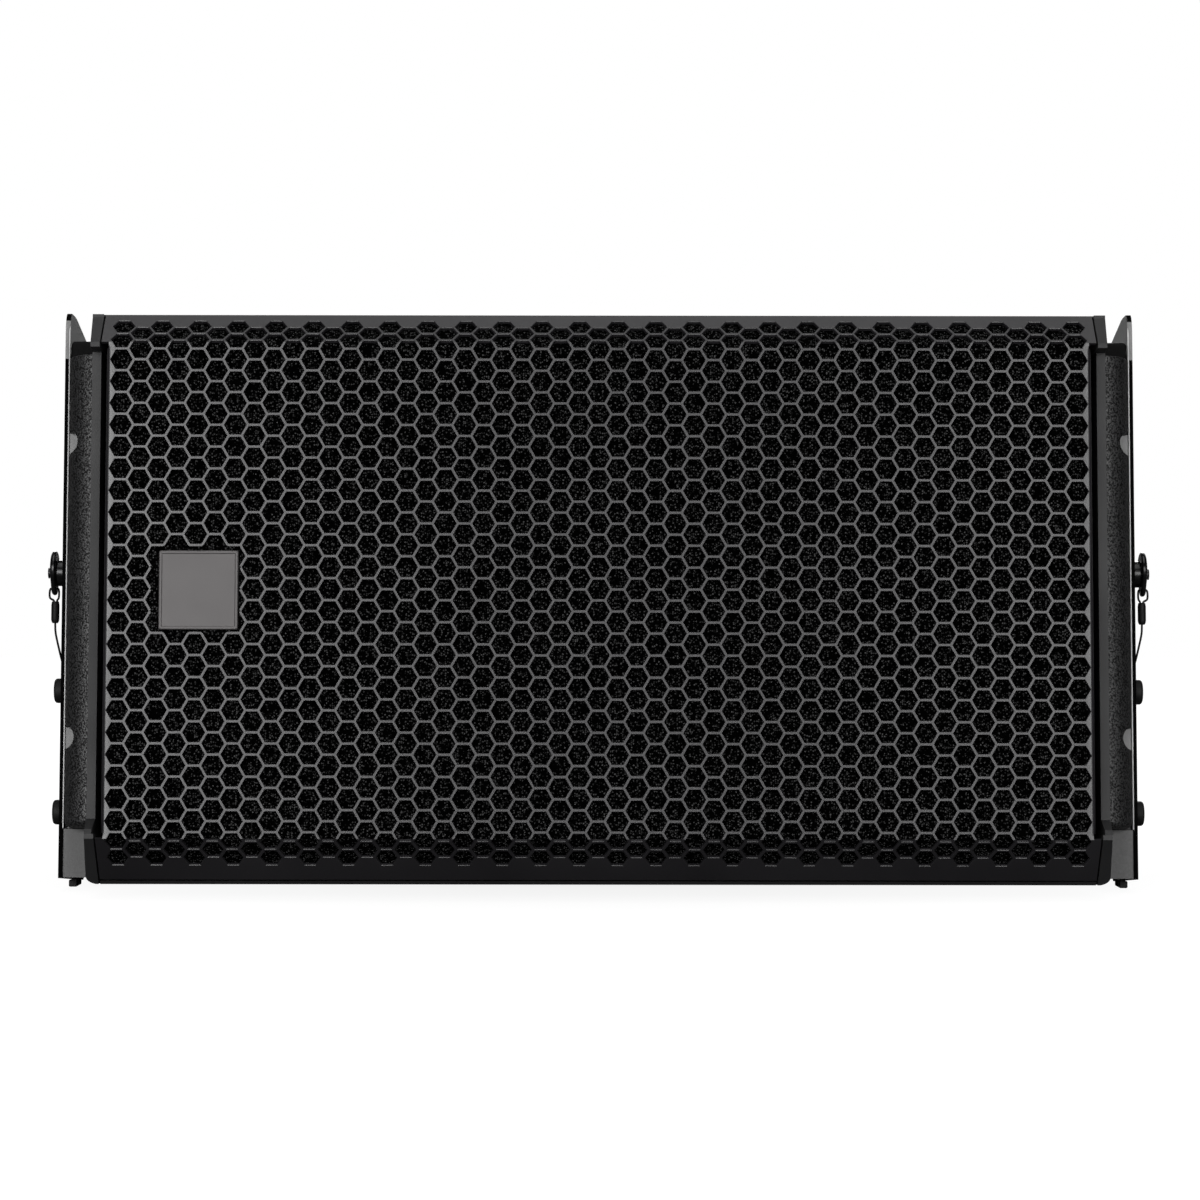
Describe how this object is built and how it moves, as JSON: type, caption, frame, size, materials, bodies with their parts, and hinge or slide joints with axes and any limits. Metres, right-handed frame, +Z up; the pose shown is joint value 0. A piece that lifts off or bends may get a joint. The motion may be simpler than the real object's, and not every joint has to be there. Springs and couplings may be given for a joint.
{
  "type": "line array speaker",
  "caption": "Compact wedge-shaped powered line array speaker with a hexagonally perforated folded grille, flanking steel rigging plates, quick-lock pins and rear link arm.",
  "frame": {"origin": "on the floor under the middle of the part's overall box, at the level of the feet", "axes": "+X to the right seen from the front, +Y from the grille to the rear, +Z up; the front leans back by the wedge angle of 5 degrees"},
  "size_m": [0.4696, 0.39, 0.2448],
  "materials": {
    "moulded_cabinet": "grained black polypropylene",
    "front_frame": "fine satin black",
    "grille_steel": "satin charcoal powder coat",
    "acoustic_foam": "open-cell black foam",
    "badge_alloy": "satin grey, bare",
    "baffle_board": "painted plywood",
    "cone_paper": "black coated pulp",
    "rubber": "black moulded rubber",
    "ferrite": "sintered grey",
    "black_aluminium": "black anodised",
    "circuit_board": "glass-fibre laminate",
    "socket_plastic": "black moulded nylon",
    "painted_steel": "black powder coat",
    "zinc_steel": "zinc plated",
    "black_bolt_steel": "black oxide",
    "coated_wire": "black plastic sleeve on steel wire"
  },
  "bodies": {
    "enclosure": {"cabinet": "moulded_cabinet", "handle_left": "moulded_cabinet", "handle_right": "moulded_cabinet", "waveguide": "moulded_cabinet", "bezel": "front_frame", "grille": "grille_steel", "grille_foam": "acoustic_foam", "badge": "badge_alloy", "baffle": "baffle_board", "woofer_surround_left": "rubber", "woofer_surround_right": "rubber", "front_foot_left": "rubber", "front_foot_right": "rubber", "rear_foot_left": "rubber", "rear_foot_right": "rubber", "woofer_magnet_left": "ferrite", "woofer_magnet_right": "ferrite", "compression_driver": "ferrite", "amplifier_panel": "black_aluminium", "heat_sink": "black_aluminium", "amplifier_board": "circuit_board", "power_supply": "socket_plastic", "mains_inlet": "socket_plastic", "mains_outlet": "socket_plastic", "signal_input": "socket_plastic", "signal_output": "socket_plastic", "side_plate_left": "painted_steel", "side_plate_right": "painted_steel", "rear_bracket": "painted_steel", "woofer_basket_left": "painted_steel", "woofer_basket_right": "painted_steel", "bolt_front_upper_left": "black_bolt_steel", "bolt_front_lower_left": "black_bolt_steel", "bolt_rear_upper_left": "black_bolt_steel", "bolt_rear_lower_left": "black_bolt_steel", "bolt_front_upper_right": "black_bolt_steel", "bolt_front_lower_right": "black_bolt_steel", "bolt_rear_upper_right": "black_bolt_steel", "bolt_rear_lower_right": "black_bolt_steel", "lanyard_anchor_left": "black_bolt_steel", "lanyard_anchor_right": "black_bolt_steel", "rear_link_pivot": "black_bolt_steel", "lanyard_left": "coated_wire", "lanyard_right": "coated_wire"},
    "lock_pin_left": {"lock_pin_left": "black_bolt_steel", "lanyard_ferrule_left": "black_bolt_steel"},
    "pin_button_left": {"pin_button_left": "black_bolt_steel"},
    "front_link_left": {"front_link_left": "zinc_steel"},
    "woofer_cone_left": {"woofer_cone_left": "cone_paper"},
    "lock_pin_right": {"lock_pin_right": "black_bolt_steel", "lanyard_ferrule_right": "black_bolt_steel"},
    "pin_button_right": {"pin_button_right": "black_bolt_steel"},
    "front_link_right": {"front_link_right": "zinc_steel"},
    "woofer_cone_right": {"woofer_cone_right": "cone_paper"},
    "rear_link_arm": {"rear_link_arm": "zinc_steel"},
    "rear_pin": {"rear_pin": "black_bolt_steel"},
    "rear_pin_button": {"rear_pin_button": "black_bolt_steel"},
    "level_knob": {"level_knob": "socket_plastic"},
    "preset_button_1": {"preset_button_1": "rubber"},
    "preset_button_2": {"preset_button_2": "rubber"}
  },
  "joints": [
    {"name": "lock_pin_left_pull", "type": "slide", "parent": "enclosure", "child": "lock_pin_left", "axis": [-1, 0, 0], "range_m": [0, 0.024], "deforming": ["lanyard_left"]},
    {"name": "pin_button_left_press", "type": "slide", "parent": "lock_pin_left", "child": "pin_button_left", "axis": [1, 0, 0], "range_m": [0, 0.0012], "stiffness_N_per_m": 200},
    {"name": "front_link_left_lift", "type": "slide", "parent": "enclosure", "child": "front_link_left", "axis": [0, 0.0872, 0.9962], "range_m": [0, 0.028]},
    {"name": "woofer_cone_left_stroke", "type": "slide", "parent": "enclosure", "child": "woofer_cone_left", "axis": [0, 0.9962, -0.0872], "range_m": [-0.004, 0.004], "stiffness_N_per_m": 1200},
    {"name": "lock_pin_right_pull", "type": "slide", "parent": "enclosure", "child": "lock_pin_right", "axis": [1, 0, 0], "range_m": [0, 0.024], "deforming": ["lanyard_right"]},
    {"name": "pin_button_right_press", "type": "slide", "parent": "lock_pin_right", "child": "pin_button_right", "axis": [-1, 0, 0], "range_m": [0, 0.0012], "stiffness_N_per_m": 200},
    {"name": "front_link_right_lift", "type": "slide", "parent": "enclosure", "child": "front_link_right", "axis": [0, 0.0872, 0.9962], "range_m": [0, 0.028]},
    {"name": "woofer_cone_right_stroke", "type": "slide", "parent": "enclosure", "child": "woofer_cone_right", "axis": [0, 0.9962, -0.0872], "range_m": [-0.004, 0.004], "stiffness_N_per_m": 1200},
    {"name": "rear_link_swing", "type": "hinge", "parent": "enclosure", "child": "rear_link_arm", "pos_m": [0, 0.18164, 0.15868], "axis": [1, 0, 0], "range_deg": [0, 175]},
    {"name": "rear_pin_pull", "type": "slide", "parent": "enclosure", "child": "rear_pin", "axis": [1, 0, 0], "range_m": [0, 0.024]},
    {"name": "rear_pin_button_press", "type": "slide", "parent": "rear_pin", "child": "rear_pin_button", "axis": [-1, 0, 0], "range_m": [0, 0.0012], "stiffness_N_per_m": 200},
    {"name": "level_knob_turn", "type": "hinge", "parent": "enclosure", "child": "level_knob", "pos_m": [0.056, 0.15693, 0.04842], "axis": [0, 0.9962, -0.0872], "range_deg": [-150, 150]},
    {"name": "preset_button_1_press", "type": "slide", "parent": "enclosure", "child": "preset_button_1", "axis": [0, -0.9962, 0.0872], "range_m": [0, 0.0015], "stiffness_N_per_m": 250},
    {"name": "preset_button_2_press", "type": "slide", "parent": "enclosure", "child": "preset_button_2", "axis": [0, -0.9962, 0.0872], "range_m": [0, 0.0015], "stiffness_N_per_m": 250}
  ]
}
